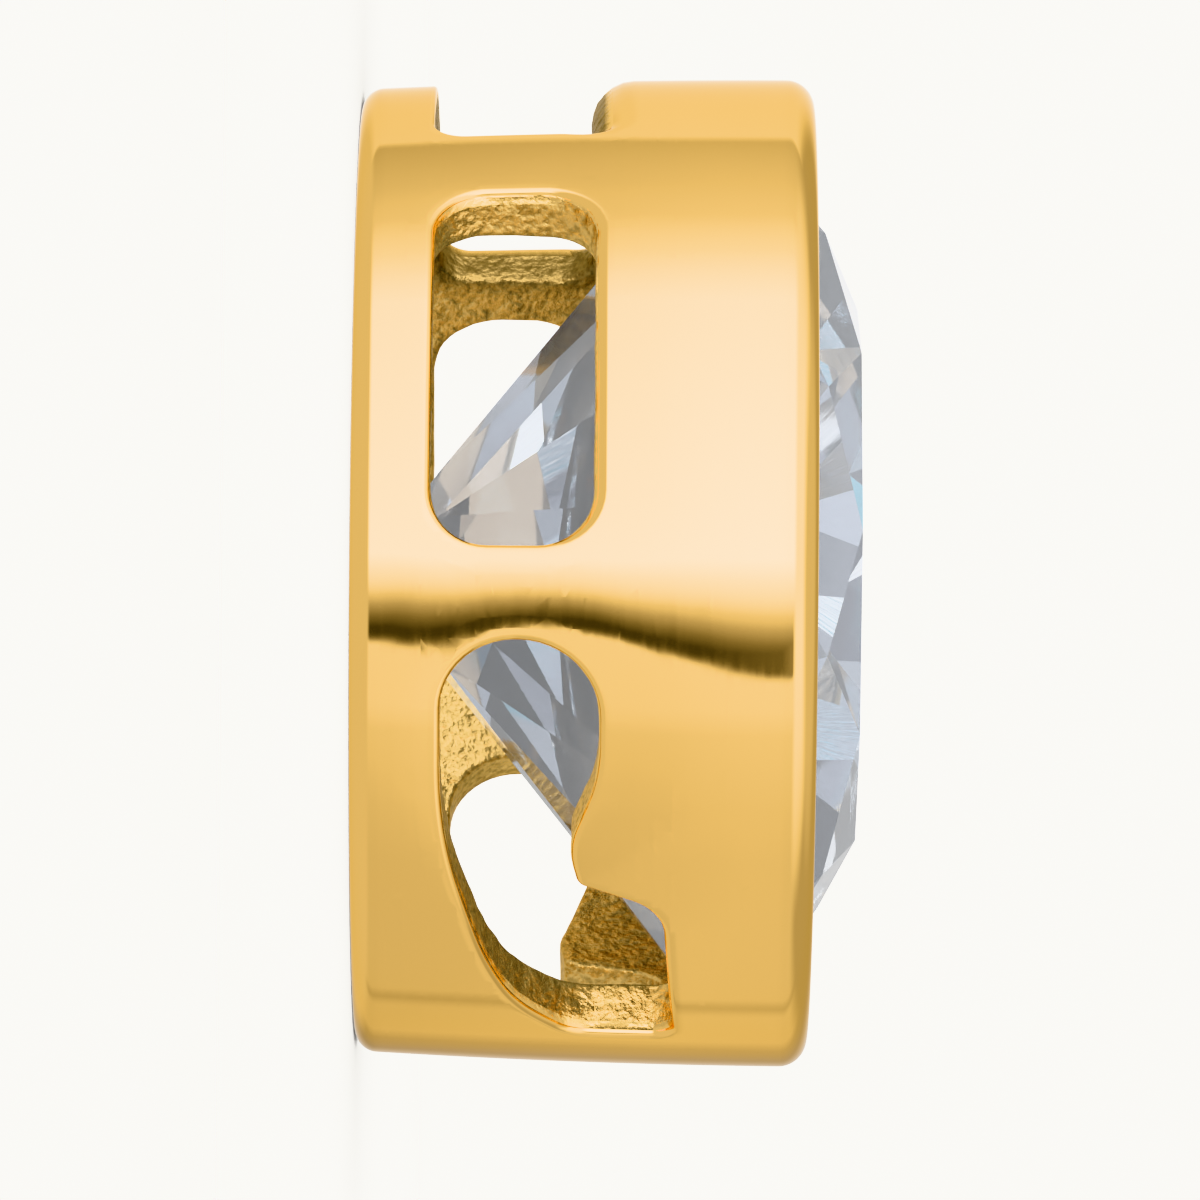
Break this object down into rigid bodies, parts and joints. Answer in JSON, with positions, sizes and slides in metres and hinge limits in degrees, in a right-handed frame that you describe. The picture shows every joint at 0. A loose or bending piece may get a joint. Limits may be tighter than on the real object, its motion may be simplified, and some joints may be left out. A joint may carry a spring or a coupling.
{
  "type": "slide pendant",
  "caption": "Round slide pendant: a clear faceted stone in a deep gold band, pierced by a top slot and side windows so that a chain passes through behind the stone.",
  "frame": {"origin": "centre of the back rim, in the plane that the pendant lies on", "axes": "+Z from the back rim towards the front, the way the stone faces; +Y towards the pendant's top; +X to the right as seen from the front"},
  "size_m": [0.0154, 0.0154, 0.0078],
  "materials": {
    "gold": "mirror polished outside, rough as cast inside",
    "clear_stone": "polished facets"
  },
  "bodies": {
    "root": {"mount": "gold", "stone": "clear_stone"}
  },
  "joints": []
}
